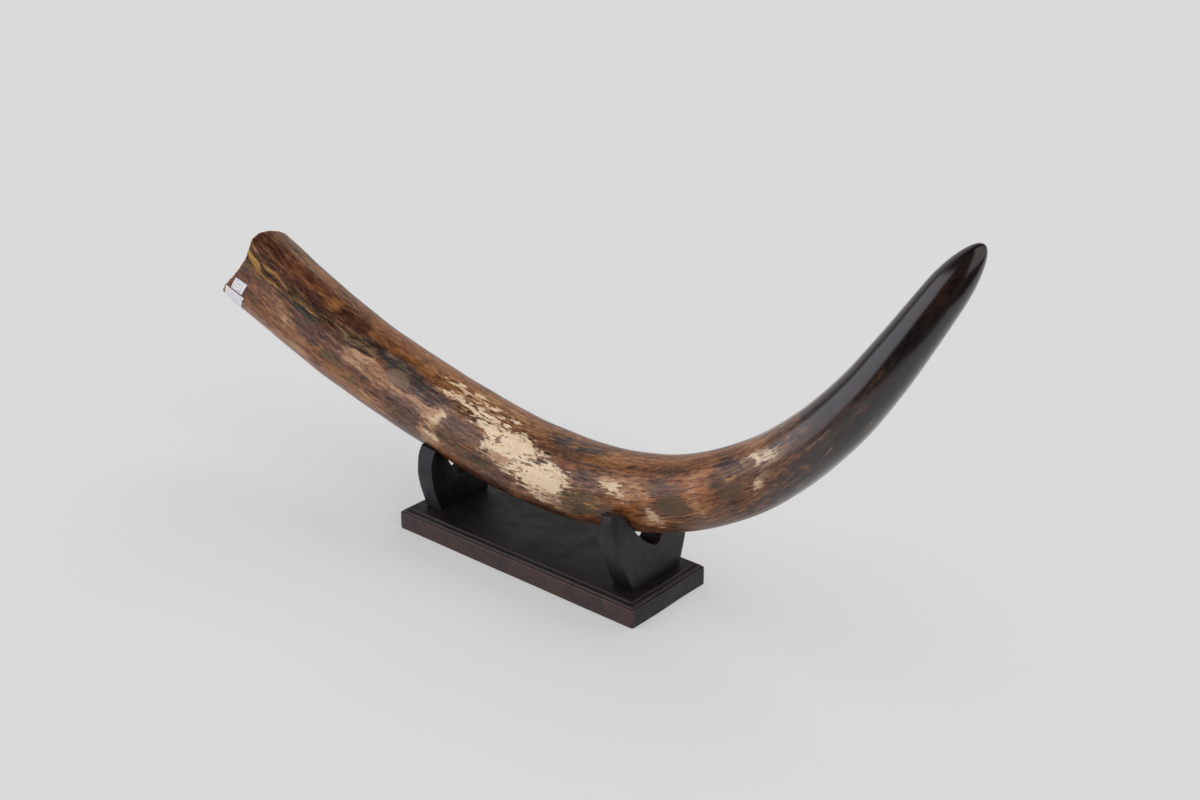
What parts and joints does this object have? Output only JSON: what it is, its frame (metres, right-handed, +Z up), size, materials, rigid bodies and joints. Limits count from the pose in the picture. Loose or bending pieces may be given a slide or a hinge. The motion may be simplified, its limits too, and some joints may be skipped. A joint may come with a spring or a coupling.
{
  "type": "mammoth tusk on a stand",
  "caption": "Curved, polished fossil tusk with an open root end, resting in the two notched uprights of a low rectangular wooden display stand.",
  "frame": {"origin": "centre of the stand's flat underside, on the surface it stands on", "axes": "+X along the stand towards the tusk's tip, -Y out of the stand's front, +Z up"},
  "size_m": [0.8027, 0.1299, 0.3822],
  "materials": {
    "fossil_ivory": "polished",
    "dark_wood": "satin",
    "sticker_paper": "matte"
  },
  "bodies": {
    "root": {"tusk": "fossil_ivory", "stand_base": "dark_wood", "saddle_far": "dark_wood", "saddle_near": "dark_wood", "label_small": "sticker_paper", "label_large": "sticker_paper"}
  },
  "joints": []
}
